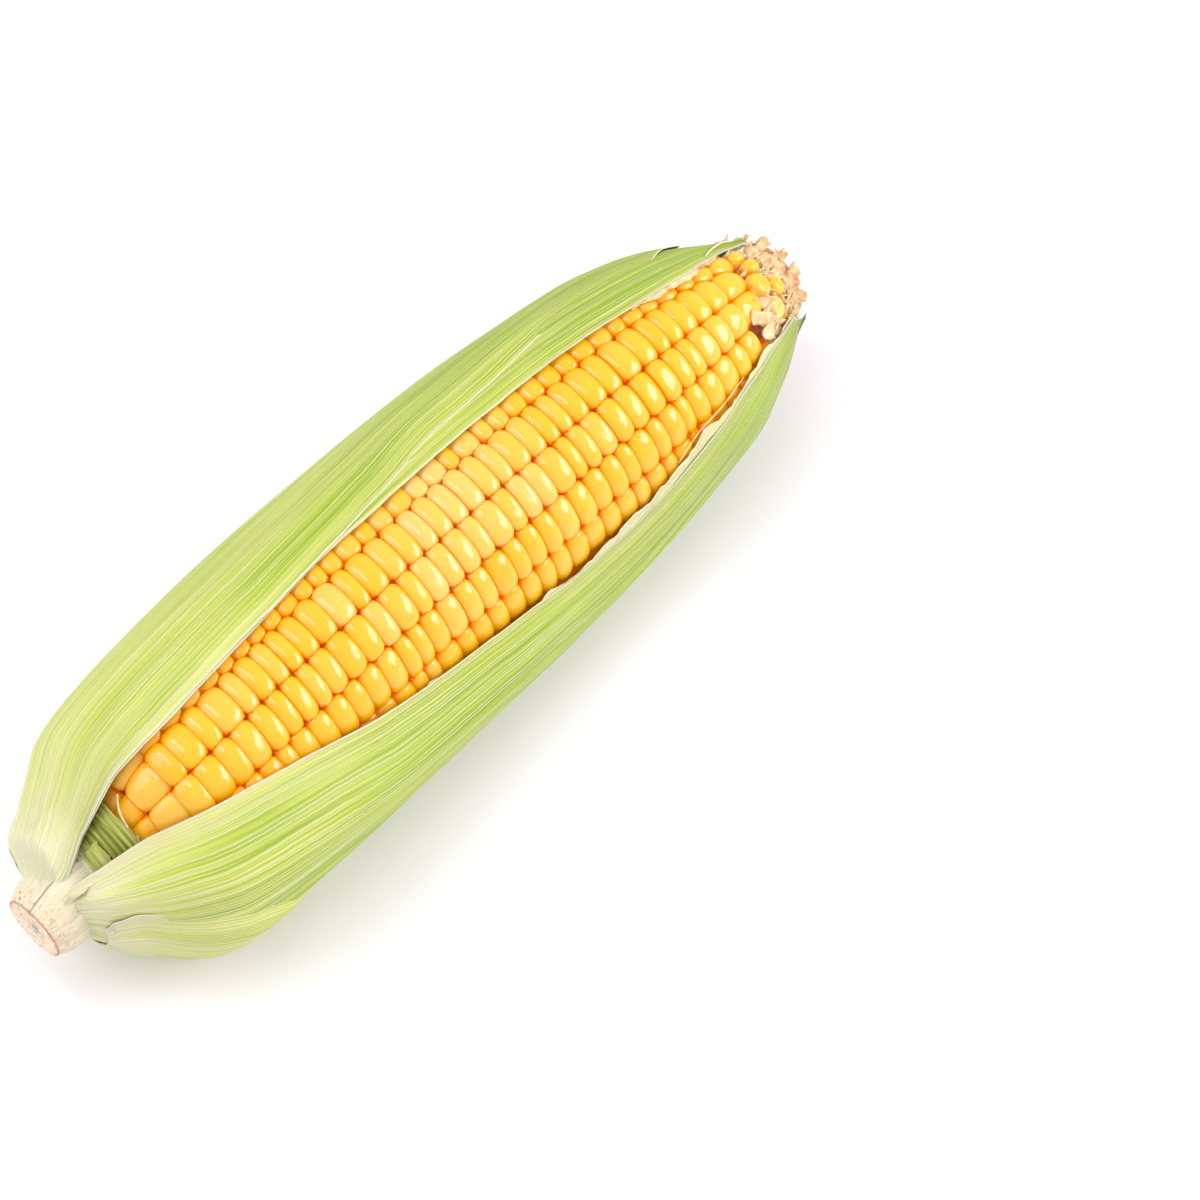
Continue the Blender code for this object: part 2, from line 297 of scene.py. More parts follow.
class Material:
    """A node material around one Principled shader, with short calls for the nodes it uses."""

    def __init__(self, name, **settings):
        self.material = bpy.data.materials.new(name)
        self.material.use_nodes = True
        self.tree = self.material.node_tree
        self.shader = self.tree.nodes["Principled BSDF"]
        for key, value in settings.items():
            self.shader.inputs[key.replace("_", " ")].default_value = value

    def feed(self, socket, value):
        if isinstance(value, bpy.types.NodeSocket):
            self.tree.links.new(value, socket)
        else:
            socket.default_value = value

    def node(self, kind, inputs, output, **settings):
        """The output of a new node whose inputs, by name or number, are values or other outputs."""
        made = self.tree.nodes.new("ShaderNode" + kind)
        for key, value in settings.items():
            setattr(made, key, value)
        for key, value in inputs.items():
            self.feed(made.inputs[key], value)
        return made.outputs[output]

    def value(self, name):
        return self.node("Attribute", {}, "Fac", attribute_name=name)

    def leaf_uv(self):
        """Millimetres across a piece and along it."""
        return self.node("UVMap", {}, "UV", uv_map="leaf")

    def position(self):
        return self.node("TexCoord", {}, "Object")

    def math(self, operation, a, b=0.0, clamp=False):
        return self.node("Math", {0: a, 1: b}, 0, operation=operation, use_clamp=clamp)

    def times(self, a, b, clamp=False):
        return self.math("MULTIPLY", a, b, clamp)

    def plus(self, a, b):
        return self.math("ADD", a, b)

    def swayed(self, value, noise, weight):
        """A value moved up and down by a noise, which is 0.5 on average."""
        return self.plus(value, self.times(self.math("SUBTRACT", noise, 0.5), weight))

    def range(self, value, low, high, to_low=0.0, to_high=1.0):
        inputs = {"Value": value, "From Min": low, "From Max": high, "To Min": to_low, "To Max": to_high}
        return self.node("MapRange", inputs, "Result", clamp=True)

    def scaled(self, vector, scale):
        return self.node("VectorMath", {0: vector, 1: scale}, 0, operation="MULTIPLY")

    def noise(self, vector, scale, detail):
        return self.node("TexNoise", {"Vector": vector, "Scale": scale, "Detail": detail}, "Fac")

    def grain(self, uv, across, along, detail):
        """Noise stretched along a leaf, with that many waves to a millimetre across and along it."""
        return self.noise(self.scaled(uv, (across, along, 1)), 1, detail)

    def ramp(self, value, stops):
        """A colour ramp through stops, which are pairs of a position and a colour."""
        colour = self.node("ValToRGB", {"Fac": value}, "Color")
        elements = colour.node.color_ramp.elements
        while len(elements) < len(stops):
            elements.new(0.5)
        for element, (position, shade) in zip(elements, stops):
            element.position = position
            element.color = (*shade, 1)
        return colour

    def mix(self, factor, a, b):
        a, b = (c if isinstance(c, bpy.types.NodeSocket) else (*c, 1) for c in (a, b))
        return self.node("Mix", {0: factor, 6: a, 7: b}, 2, data_type="RGBA")

    def stained(self, base, where, amount, colour):
        """A base colour with an srgb colour over it, as strong as where times amount."""
        return self.mix(self.times(where, amount), base, srgb(*colour))

    def bump(self, height, distance):
        made = self.node("Bump", {"Height": height, "Distance": distance, "Strength": 1.0}, "Normal")
        self.feed(self.shader.inputs["Normal"], made)

    def colour(self, value):
        self.feed(self.shader.inputs["Base Color"], value)

    def rough(self, value):
        self.feed(self.shader.inputs["Roughness"], value)


SURFACE_TONE = 0.84  # darkens every colour of the ear a little, to suit the bright studio


def srgb(red, green, blue):
    """A linear surface colour from the usual 0 to 255 numbers, which may go a little past 255."""
    parts = (c / 255 for c in (red, green, blue))
    return tuple(SURFACE_TONE * (((c + 0.055) / 1.055) ** 2.4 if c > 0.04 else c / 12.92) for c in parts)


def palette(*stops):
    """Stops of a colour ramp, each given as a position, then red, green and blue for srgb."""
    return [(position, srgb(*colour)) for position, *colour in stops]


DEEPEST_CREVICE_SHADE = 3.0  # the painted crevice shade gets no deeper in colour beyond this depth below a kernel's top
# Emission colours by depth below a kernel's top: a painted glow in the crevices
PAINTED_CREVICE_GLOW = ((0.0, (0, 0, 0)), (0.3, (0.03, 0.013, 0)), (0.6, (0.09, 0.035, 0)))


def kernel_material():
    """Glossy golden skin over translucent flesh. Painted shade turns it deep orange where kernels press on
    each other, and a painted glow lights it there.
    """
    m = Material("kernel_skin", Subsurface_Weight=0.6, Subsurface_Scale=0.003, Specular_IOR_Level=0.7)
    m.shader.inputs["Subsurface Radius"].default_value = (1.0, 0.55, 0.15)
    m.shader.inputs["Specular Tint"].default_value = (1.0, 0.74, 1.0, 1)
    where = m.position()
    cloud = m.noise(where, 260, 2)
    depth = m.swayed(m.value("depth"), cloud, 0.3)
    # Painted shade: the flesh colour deepens to orange with depth below the crown, for the shade in the
    # crevices
    flesh = m.ramp(
        m.range(depth, 0, DEEPEST_CREVICE_SHADE),
        palette((0, 270, 203, 44), (0.14, 270, 199, 28), (0.28, 272, 191, 8), (0.42, 272, 176, 2),
                (0.62, 268, 150, 0), (0.85, 252, 116, 0)),
    )
    tint = m.value("tint")
    pale = m.mix(m.range(tint, 0.5, 1, 0, 0.8), flesh, srgb(264, 215, 124))
    rich = m.mix(m.range(tint, 0.5, 0, 0, 0.6), pale, srgb(276, 186, 8))
    rim = m.range(m.value("rim"), 0.78, 0.92)
    fringe = m.times(rim, m.range(m.noise(where, 420, 1), 0.42, 0.56))
    m.colour(m.stained(rich, fringe, 0.7, (255, 236, 168)))
    gloss = m.range(cloud, 0.3, 0.7, 0.15, 0.2)
    m.rough(m.math("MAXIMUM", gloss, m.range(depth, 1.3, 2.4, 0.0, 0.6)))
    m.bump(m.noise(where, 700, 2), 0.00003)
    # Painted glow: an orange emission where the kernels touch stands in for light passing through them
    m.feed(m.shader.inputs["Emission Color"], m.ramp(m.range(depth, 0, DEEPEST_CREVICE_SHADE), PAINTED_CREVICE_GLOW))
    m.shader.inputs["Emission Strength"].default_value = 1.0
    return m.material


def husk_material(name, seed):
    """A ribbed green leaf with white veins, pale towards its edges and its base."""
    m = Material(name, Subsurface_Weight=0.08, Subsurface_Scale=0.002, IOR=1.4)
    m.shader.inputs["Subsurface Radius"].default_value = (0.8, 1.0, 0.3)
    shift = (seed * 37.0, seed * 91.0, seed * 5.0)
    uv = m.node("VectorMath", {0: m.leaf_uv(), 1: shift}, 0, operation="ADD")
    coarse = m.grain(uv, 0.13, 0.006, 2)
    medium = m.grain(uv, 0.8, 0.009, 2)
    fine = m.grain(uv, 2.0, 0.016, 1)
    patches = m.grain(uv, 0.07, 0.03, 3)
    pale = m.value("pale")
    for noise, weight in ((coarse, 0.6), (medium, 1.1), (fine, 1.25), (patches, 0.35)):
        pale = m.swayed(pale, noise, weight)
    leaf = m.ramp(
        pale,
        palette((0, 150, 178, 34), (0.25, 186, 203, 70), (0.5, 213, 221, 106), (0.72, 230, 233, 146),
                (0.88, 238, 236, 176), (1, 248, 241, 200)),
    )
    # A white vein on every rib, thin ones between, and a darker green beside them
    wander = m.times(m.grain(uv, 0.5, 0.012, 1), 5.0)
    turn = m.plus(m.times(m.value("rib"), 2 * math.pi), wander)
    present = m.range(m.grain(uv, 0.8, 0.02, 2), 0.4, 0.58)
    vein = m.times(m.range(m.math("SINE", turn), 0.5, 0.96), present)
    between = m.plus(m.times(turn, 2.0), m.times(medium, 9.0))
    thin = m.times(m.range(m.math("SINE", between), 0.6, 1.0), m.range(fine, 0.45, 0.6))
    dark = m.times(m.range(m.math("SINE", turn), -0.2, -0.95), m.range(fine, 0.4, 0.62))
    # Towards its edge the leaf tans, and the edge itself is white
    edge = m.value("edge")
    tan = m.times(m.range(edge, 5.0, 0.0), m.range(medium, 0.5, 0.6))
    speck = m.range(m.grain(uv, 1.1, 0.25, 1), 0.775, 0.8)
    rim = m.range(edge, 0.55, 0.1)
    stains = (
        (dark, 0.34, (158, 182, 46)),
        (thin, 0.6, (240, 243, 184)),
        (vein, 0.8, (247, 248, 214)),
        (tan, 0.35, (238, 214, 138)),
        (speck, 0.6, (140, 120, 50)),
        (rim, 0.85, (252, 247, 222)),
    )
    for where, amount, colour in stains:
        leaf = m.stained(leaf, where, amount, colour)
    m.colour(leaf)
    m.rough(m.range(medium, 0.3, 0.7, 0.42, 0.6))
    height = m.plus(vein, m.times(m.math("SUBTRACT", thin, dark), 0.5))
    m.bump(m.plus(height, medium), 0.0001)
    return m.material


def stem_material():
    """Cream flesh with tan flecks and scratches near the cut, whose rim and face are browned."""
    m = Material("stem_flesh", Subsurface_Weight=0.15, Subsurface_Scale=0.002)
    uv = m.leaf_uv()
    where = m.position()
    # zone goes from 1 at the middle of the cut face to 0 at its rim, and on down by millimetres
    zone = m.value("zone")
    along = m.times(zone, -1.0)
    streak = m.grain(uv, 1.6, 0.10, 3)
    skin = m.mix(m.range(streak, 0.35, 0.7), srgb(250, 240, 216), srgb(236, 222, 176))
    near_cut = m.range(along, 7.5, 0.0)
    blotch = m.range(m.noise(where, 330, 3), 0.5, 0.66)
    scratch = m.range(m.noise(m.scaled(uv, (1.5, 0.55, 1)), 1.3, 4), 0.55, 0.63)
    tan = m.times(m.plus(m.times(blotch, 0.4), scratch), near_cut, clamp=True)
    skin = m.stained(skin, tan, 0.75, (222, 150, 92))
    speck = m.times(m.range(m.noise(where, 900, 2), 0.66, 0.72), m.range(along, 6.0, 1.0))
    skin = m.stained(skin, speck, 0.8, (176, 92, 50))
    rim = m.times(m.range(along, 0.55, 0.1), m.range(zone, 0.09, -0.05))
    skin = m.stained(skin, rim, 0.75, (190, 118, 74))
    pith = m.noise(where, 1500, 3)
    face = m.mix(m.range(pith, 0.4, 0.62), srgb(268, 252, 228), srgb(248, 220, 184))
    slit = m.noise(m.scaled(where, (1, 420, 1100)), 1, 2)
    face = m.stained(face, m.range(slit, 0.64, 0.7), 0.85, (140, 84, 62))
    edge_tan = m.times(m.range(zone, 0.16, 0.03), m.range(pith, 0.35, 0.6))
    face = m.stained(face, edge_tan, 0.8, (214, 160, 112))
    m.colour(m.mix(m.range(zone, 0.0, 0.02), skin, face))
    m.rough(m.range(streak, 0.3, 0.7, 0.5, 0.65))
    m.bump(m.plus(m.times(streak, 2.0), pith), 0.0002)
    return m.material


def chaff_material():
    """Dry papery flakes, cream to pinkish brown by their tone, with fibres along them."""
    m = Material("chaff", Subsurface_Weight=0.25, Subsurface_Scale=0.0015)
    fibres = m.grain(m.leaf_uv(), 4.0, 0.5, 2)
    cloud = m.noise(m.position(), 500, 3)
    colour = m.ramp(
        m.swayed(m.value("tone"), cloud, 0.9),
        palette((0, 272, 252, 208), (0.3, 264, 234, 182), (0.55, 252, 210, 158), (0.8, 228, 162, 116),
                (1, 178, 98, 60)),
    )
    m.colour(m.mix(m.range(fibres, 0.5, 0.72, 0, 0.5), colour, srgb(214, 164, 118)))
    m.rough(m.range(cloud, 0.3, 0.7, 0.6, 0.8))
    m.bump(m.plus(fibres, cloud), 0.0002)
    return m.material


def stub_material():
    """The olive leaf stub in the opening, with paler veins round the ear."""
    m = Material("stub_leaf", Subsurface_Weight=0.08, Subsurface_Scale=0.0015)
    uv = m.leaf_uv()
    broad = m.grain(uv, 0.5, 0.02, 2)
    fine = m.grain(uv, 2.2, 0.05, 2)
    tone = m.swayed(m.swayed(m.value("pale"), broad, 1.2), fine, 1.4)
    olives = palette((0, 120, 124, 26), (0.3, 160, 166, 62), (0.6, 196, 200, 100), (0.85, 222, 222, 150),
                     (1, 240, 236, 190))
    m.colour(m.ramp(tone, olives))
    m.rough(m.range(fine, 0.3, 0.7, 0.45, 0.6))
    m.bump(m.plus(fine, m.times(broad, 2.0)), 0.0002)
    return m.material


def silk_material():
    """Cream to straw-coloured silk."""
    m = Material("silk", Subsurface_Weight=0.3, Subsurface_Scale=0.001)
    cloud = m.noise(m.position(), 500, 2)
    m.colour(m.mix(m.range(cloud, 0.35, 0.65), srgb(255, 250, 226), srgb(246, 232, 184)))
    m.rough(m.range(cloud, 0.3, 0.7, 0.35, 0.5))
    m.bump(cloud, 0.0001)
    return m.material


# ---------------------------------------------------------------- kernels

OUTLINE_STEPS = 30
CROWN_DEPTH = 2.0  # from the top of a kernel down to its straight sides
CROWN_POWER = 2.05  # how boxy its dome is: 2 is a ball, more is flatter on top
CELL_POWER = 2.5  # and how square its outline is
KERNEL_GAP = 0.012
# A kernel would grow this much past its cell, along its row and across it, so its neighbours press on it
OUTLINE_GROWTH = (1.26, 1.18)
SHOULDER_GROWTH = 1.3  # and this much more below its dome
SIDE_TAPER = 0.035  # its sides draw in by this share for each millimetre further down
FIRST_CROWN = 22.2  # where the kernels start, just behind the leaf stub
FIRST_STEPS = (0.66, 0.5, 0.9, 0.58)  # length of a row's first kernel, as a share of the pitch there
LAST_CROWN = 212  # no row goes past this station
PITCH_SPREAD = 0.11
ROW_SHIFT = 0.22
# The rings of a kernel's dome, as shares of its outline, and the rings down its sides below that
RING_SHARE = (0.12, 0.26, 0.4, 0.52, 0.62, 0.7, 0.77, 0.83, 0.89, 0.94, 0.98, 1.0)
SIDE_DEPTHS = (0.9, 4.0, 9.5)
# Where each row of whole kernels ends
ROW_ENDS = (209.5, 205.5, 203.4, 204.5, 206.5, 205, 207, 205.5, 204, 206, 205, 207.5, 206, 204.5, 206, 208)


def ring_directions():
    turns = np.arange(OUTLINE_STEPS) * 2 * math.pi / OUTLINE_STEPS
    return np.stack((np.cos(turns), np.sin(turns)), -1)


def kernel_pitch(station):
    """Usual thickness of a kernel at a station."""
    butt = BUTT_PITCH_EXTRA * math.exp((FIRST_KERNEL - station) / BUTT_FADE)
    tip = (station - TIP_PITCH_START) / (TIP_PITCH_END - TIP_PITCH_START)
    return KERNEL_PITCH + butt + TIP_PITCH_EXTRA * float(smooth_step(tip))


def kernel_centres():
    """Every kernel as (row, centre station, half pitch). Rows are paired, as they grow."""
    kernels = []
    for pair in range(ROWS // 2):
        marks = [FIRST_CROWN]
        step = kernel_pitch(FIRST_KERNEL) * FIRST_STEPS[pair % len(FIRST_STEPS)]
        while marks[-1] < LAST_CROWN:
            marks.append(marks[-1] + step)
            spread = float(np.clip(PITCH_SPREAD * rng.standard_normal(), -0.2, 0.22))
            step = kernel_pitch(marks[-1]) * (1 + spread)
        for row in (2 * pair, 2 * pair + 1):
            shifted = np.array(marks) + rng.normal(0, ROW_SHIFT, len(marks))
            for start, stop in zip(shifted, shifted[1:]):
                if stop < ROW_ENDS[row] + 1.5:
                    kernels.append((row, float(start + stop) / 2, float(stop - start) / 2))
    return kernels


def outline_of(kernel, kernels):
    """Distances from a kernel's centre to its rounded outline and to where its neighbours press."""
    row, station, half = kernel
    radius = float(ear_radius(station))
    row_width = math.radians(ROW_STEP) * radius
    planes = []
    for other_row, other, other_half in kernels:
        side = (other_row - row + ROWS // 2) % ROWS - ROWS // 2
        gap = other - station
        if side == 0 and 0 < abs(gap) < half + other_half + 1:
            planes.append(((math.copysign(1, gap), 0), half))
        elif abs(side) == 1 and abs(gap) < 8:
            away = np.array((gap, side * row_width))
            length = float(np.hypot(*away))
            planes.append((tuple(away / length), length / 2))
    directions = ring_directions()
    shares = np.stack([np.maximum(directions @ np.array(n), 0) / h for n, h in planes], -1)
    pressed = 1 / np.maximum(shares.max(-1), 0.01) - KERNEL_GAP
    sides = np.abs(directions) / (np.array((half, row_width / 2)) * OUTLINE_GROWTH)
    rounded = (sides**CELL_POWER).sum(-1) ** (-1 / CELL_POWER)
    return directions, rounded, pressed


def crown_depth(half):
    """Height of a kernel's dome; the long kernels at the butt have higher ones."""
    return CROWN_DEPTH * min(max(half / 2.7, 1), 1.6)


def kernel_points(kernel, kernels):
    """Rings of (along, across) and depth for one kernel, from its crown to its foot."""
    directions, rounded, pressed = outline_of(kernel, kernels)
    dome = crown_depth(kernel[2])
    rings, depths = [], []
    for share in RING_SHARE:
        reach = np.minimum(rounded * share, pressed)
        drop = dome * (1 - (1 - min(share, 0.9999) ** CROWN_POWER) ** (1 / CROWN_POWER))
        rings.append(directions * reach[:, None])
        depths.append(np.full(OUTLINE_STEPS, drop))
    last = np.where(pressed < rounded * SHOULDER_GROWTH, pressed, rounded)
    for extra in SIDE_DEPTHS:
        shrink = 1 - SIDE_TAPER * extra
        rings.append(directions * last[:, None] * (shrink, 1))
        depths.append(np.full(OUTLINE_STEPS, dome + extra))
    return np.array(rings), np.array(depths)


FOOT_DEPTH = 12.0


def kernel_tint(row, station):
    """0 for rich orange, 0.5 for golden and 1 for pale kernels. Those of the top rows near the middle are
    made paler as a painted highlight.
    """
    painted_highlight_paling = 0.36 * math.exp(-(((station - 118) / 26) ** 2)) * (row in (0, 1, 15))
    return float(np.clip(rng.normal(0.45 + painted_highlight_paling, 0.11), 0, 1))


def kernel_body(station, middle, rings, depths, lift):
    """Rings of points of a kernel whose crown is at a station and angle. lift raises its dome."""
    radius = float(ear_radius(station))
    slope = float(ear_radius(station + 0.5) - ear_radius(station - 0.5))
    length = math.hypot(1, slope)
    tangent = np.array((1, slope)) / length
    normal = np.array((-slope, 1)) / length
    depths = np.minimum(depths, max((radius - COB_RADIUS - 0.2) / normal[1], 1.6 * CROWN_DEPTH + 0.3))
    fade = np.clip(1 - depths / 5, 0, 1)
    along, across = rings[..., 0], rings[..., 1]
    meridian = np.array((station, radius)) + along[..., None] * length * tangent
    meridian = meridian - (depths - lift * fade)[..., None] * normal
    turn = middle + np.degrees(across / radius)
    return place(meridian[..., 0], turn, meridian[..., 1])


def make_kernel_piece(name, bodies, material):
    """Separate kernels in one piece. A body is (rings, depths, tint, rim)."""
    points, faces = [], []
    values = {"depth": [], "tint": [], "rim": []}
    count = 0
    for rings, depths, tint, rim in bodies:
        faces.append(closed_rings(rings, count))
        points += [rings, rings[0].mean(0), rings[-1].mean(0)]
        values["depth"] += [depths.ravel(), [depths[0].mean()], [FOOT_DEPTH]]
        values["tint"] += [np.full(depths.size + 2, tint)]
        values["rim"] += [rim.ravel(), [0.0, 0.0]]
        count += depths.size + 2
    faces = [np.concatenate(kind) for kind in zip(*faces)]
    values = {key: np.concatenate(value) for key, value in values.items()}
    return make_mesh(name, point_list(*points), faces, material, values=values)


def make_kernel_row(row, kernels, material):
    """One row of separate kernels, each a closed body, in one piece."""
    bodies = []
    share = np.array((*RING_SHARE, *(1.0 for _ in SIDE_DEPTHS)))[:, None]
    for kernel in (k for k in kernels if k[0] == row):
        _, station, half = kernel
        rings, depths = kernel_points(kernel, kernels)
        lean_along, lean_across = rng.normal(0, (0.05, 0.02))
        rise = rng.normal(0, 0.14)
        dent = max(0.0, rng.normal(0, 0.1))
        depths = depths + dent * np.exp(-((share / 0.35) ** 2))
        lift = rise + lean_along * rings[..., 0] + lean_across * rings[..., 1]
        forward = np.clip(rings[..., 0] / np.abs(rings[..., 0]).max(), 0, 1)
        rim = forward**2 * np.minimum(share * 1.26, 1) ** 3
        rim = rim * (share < 1) * (0.72 + 0.28 * smooth_step((station - 150) / 45))
        body = kernel_body(station, ROW_STEP * (row + 0.5), rings, depths, lift)
        shown_depths = depths * CROWN_DEPTH / crown_depth(half)
        bodies.append((body, shown_depths, kernel_tint(row, station), rim))
    piece = make_kernel_piece(f"kernels_{row + 1:02d}", bodies, material)
    stand_for(piece, f"kernel_row_{row + 1:02d}")


# Undeveloped kernels at the tip: station, angle, length, width, height, dimple and tint
SMALL_KERNELS = (
    (209.4, -8, 3.4, 3.4, 1.2, 0.0, 0.5),
    (210.6, 6, 3.8, 3.8, 1.3, 0.0, 0.45),
    (208.8, 25, 4.9, 6.2, 1.5, 0.45, 0.55),
    (212.4, 36, 3.6, 4.4, 1.3, 0.15, 0.4),
    (208.9, 51, 4.6, 5.8, 1.6, 0.9, 0.85),
)


def hidden_small_kernels():
    """More undeveloped kernels round the side away from the opening, in two uneven rings."""
    made = []
    for station, first in ((210.5, 66), (214, 76)):
        for angle in np.arange(first, 328, 24):
            size = rng.uniform(3.4, 5.0, 2)
            spot = station + rng.normal(0, 0.5), float(angle) + rng.normal(0, 2.5)
            made.append((*spot, *size, 1.2, rng.uniform(0, 0.7), rng.uniform(0.3, 0.9)))
    return made


def make_small_kernels(small, material):
    """The undeveloped kernels, as one piece. Some have a dimple with a pale ring round it."""
    outline = ring_directions()
    outline /= (np.abs(outline) ** 2.3).sum(-1, keepdims=True) ** (1 / 2.3)
    share = np.array((*RING_SHARE, 1.0, 1.0))[:, None]
    bodies = []
    for station, angle, length, width, height, dimple, tint in small:
        rings = outline[None] * share[..., None] * (length / 2, width / 2)
        drop = height * 1.3 * (1 - np.sqrt(1 - np.minimum(share, 0.9999) ** 2.4))
        drop = np.broadcast_to(drop, rings.shape[:2]).copy()
        drop[-2:] += np.array((1.0, 2.5))[:, None]
        drop += dimple * np.exp(-((share / 0.42) ** 2))
        ring = np.exp(-(((share - 0.72) / 0.16) ** 2)) * min(1, 2 * dimple)
        rim = np.broadcast_to(np.maximum(ring, share**6), rings.shape[:2])
        sunk = 0.5 if abs(angle) > 60 else -0.9  # deeper where a leaf lies over them
        body = kernel_body(station, angle, rings, drop + sunk, 0.0)
        bodies.append((body, np.minimum(drop * 0.8, 1.4), tint, rim))
    add_trim(make_kernel_piece("small_kernels", bodies, material))


def make_kernels(small):
    """All the rows of kernels, and the small ones at the tip."""
    material = kernel_material()
    kernels = kernel_centres()
    for row in range(ROWS):
        make_kernel_row(row, kernels, material)
    make_small_kernels(small, material)


# ---------------------------------------------------------------- husk

RIB_SPACING = 1.05
RIB_HEIGHT = 0.035
EDGE_THICKNESS = 0.12
EDGE_JITTER = 0.4  # degrees
LEAF_ROOT = 4.0  # station inside the stem where every leaf starts
LEAF_ROWS = 190
LEAF_COLUMN = 0.34  # distance between columns of points
LEAF_ROUND = 33  # radius that turns a leaf's widest angle into its width

broad_ripple = waves(5, 110, 14)
broad_drift = waves(4, 300, 60)
base_pleats = waves(5, 60, 9)
rib_drift = waves(4, 260, 50)


def shared_relief(stations, angles):
    """Height of the soft ripples that all husk layers share, so that they nest."""
    turned = from_opening(angles)
    broad = broad_ripple(turned + 4 * broad_drift(stations)) * 0.5
    pleats = base_pleats(turned) * 0.65 * np.exp(-((np.maximum(stations - 9, 0) / 14) ** 1.3))
    grown = smooth_step((stations - 6) / 6)
    return (broad + pleats) * grown


def make_leaf(name, layer, span, low, high, front, pale, material, node, relief=None, end=None):
    """A husk leaf between two edges. front is the edge beside the opening, "low" or "high".

    relief adds height, and end gives the last station, from 0 at the low edge to 1 at the high one.
    """
    start, stop = span
    t = np.linspace(0, 1, LEAF_ROWS)[:, None] ** 1.25
    widest = max(float(high(s) - low(s)) for s in np.linspace(start, stop, 40))
    width = math.radians(widest) * LEAF_ROUND
    share = np.linspace(0, 1, int(width / LEAF_COLUMN))
    last_station = np.full(share.shape, stop) if end is None else end(share)
    stations = start + (last_station - start) * t
    jitter_low, jitter_high = waves(6, 60, 4), waves(6, 60, 4)
    first = low(stations) + EDGE_JITTER * jitter_low(stations)
    last = high(stations) + EDGE_JITTER * jitter_high(stations)
    angles = first + (last - first) * share
    full = leaf_radius(stations, angles, layer)
    edge = np.radians(last - first) * (share if front == "low" else 1 - share) * full
    # An outer layer comes down onto the one below it at its free edge and at its end
    closing = np.maximum(1 - smooth_step(edge / 9), smooth_step((stations - stop + 14) / 12))
    sunk = layer * (LAYER_STEP - 0.32) * closing * smooth_step((stations - 11) / 9)
    radius = full - sunk + shared_relief(stations, angles) * smooth_step(edge / 5)
    if relief is not None:
        radius = radius + relief(stations, angles, edge)
    rib_turn = 2 * math.pi * share * width / RIB_SPACING + 2.0 * rib_drift(stations + 40 * share)
    radius = radius + RIB_HEIGHT * np.cos(rib_turn)
    # All leaves grow out of the stem, and none goes into the kernels
    in_stem = stem_radius(stations) - 0.5 + 0.12 * layer
    radius = in_stem + (radius - in_stem) * smooth_step((stations - LEAF_ROOT) / 4.5)
    clear = np.maximum(radius, inner_radius(stations) + 0.3)
    radius = np.where(stations > 9, clear, radius)
    half = (EDGE_THICKNESS + (LEAF_THICKNESS - EDGE_THICKNESS) * smooth_step(edge / 4)) / 2
    outer = place(stations, angles, radius + half)
    inner = place(stations, angles, radius - half)
    floor = (2 - layer) * LAYER_STEP
    outer[..., 2] = np.maximum(outer[..., 2], floor)
    inner[..., 2] = np.maximum(inner[..., 2], floor + LEAF_THICKNESS)
    uv = np.stack((np.broadcast_to(share * width, stations.shape), stations), -1)
    values = {"pale": pale(stations, angles, edge), "edge": edge, "rib": rib_turn / (2 * math.pi)}
    stand_for(make_sheet(name, outer, inner, material, uv, values), node)


def base_fade(stations, length):
    """1 beside the stem, fading out over a length."""
    return np.exp(-np.maximum(stations - 9, 0) / length)


def greening(stations):
    """How much greener the leaves get from their base to their tip."""
    return 0.12 * smooth_step((stations - 50) / 60) + 0.26 * smooth_step((stations - 130) / 70)


# How pale a leaf is: 0 for the deepest green, 1 for cream


def upper_paleness(stations, angles, edge):
    pale = 0.36 + 0.1 * np.exp(-edge / 5) + 0.6 * base_fade(stations, 11) + 0.16 * base_fade(stations, 50)
    return pale - greening(stations)


def lower_paleness_shaded(stations, angles, edge):
    # Painted shade: the lower leaf is kept a deeper green than the upper one, as if less lit
    pale = 0.1 + 0.38 * np.exp(-edge / 5) + 0.65 * base_fade(stations, 12) + 0.16 * base_fade(stations, 50)
    return pale - 0.5 * greening(stations)


def back_paleness(stations, angles, edge):
    return 0.24 + 0.3 * np.exp(-edge / 4) + 0.5 * base_fade(stations, 12) + 0.2 * base_fade(stations, 60)


def papery_paleness(stations, angles, edge):
    return np.full(stations.shape, 0.86)


# End of the upper inner leaf, by share of its width in eightieths from its free edge
FINGERS = curve_through(((0, 215.2), (7, 215), (8.5, 211.2), (9.5, 211.2), (11, 216.5), (18, 216.3),
                         (19.5, 211.6), (20.5, 211.6), (22, 217.8), (32, 217.6), (45, 216.6), (80, 214.5)))


def finger_ends(share):
    """The upper inner leaf ends in cut strips beside the opening."""
    return FINGERS((1 - share) * 80)


def papery_flutter(stations, angles, edge):
    """The papery leaf's free edge curls up where it pokes out past the green one."""
    return 0.25 * np.exp(-edge / 1.5) * (0.6 + np.sin(stations / 3.1))


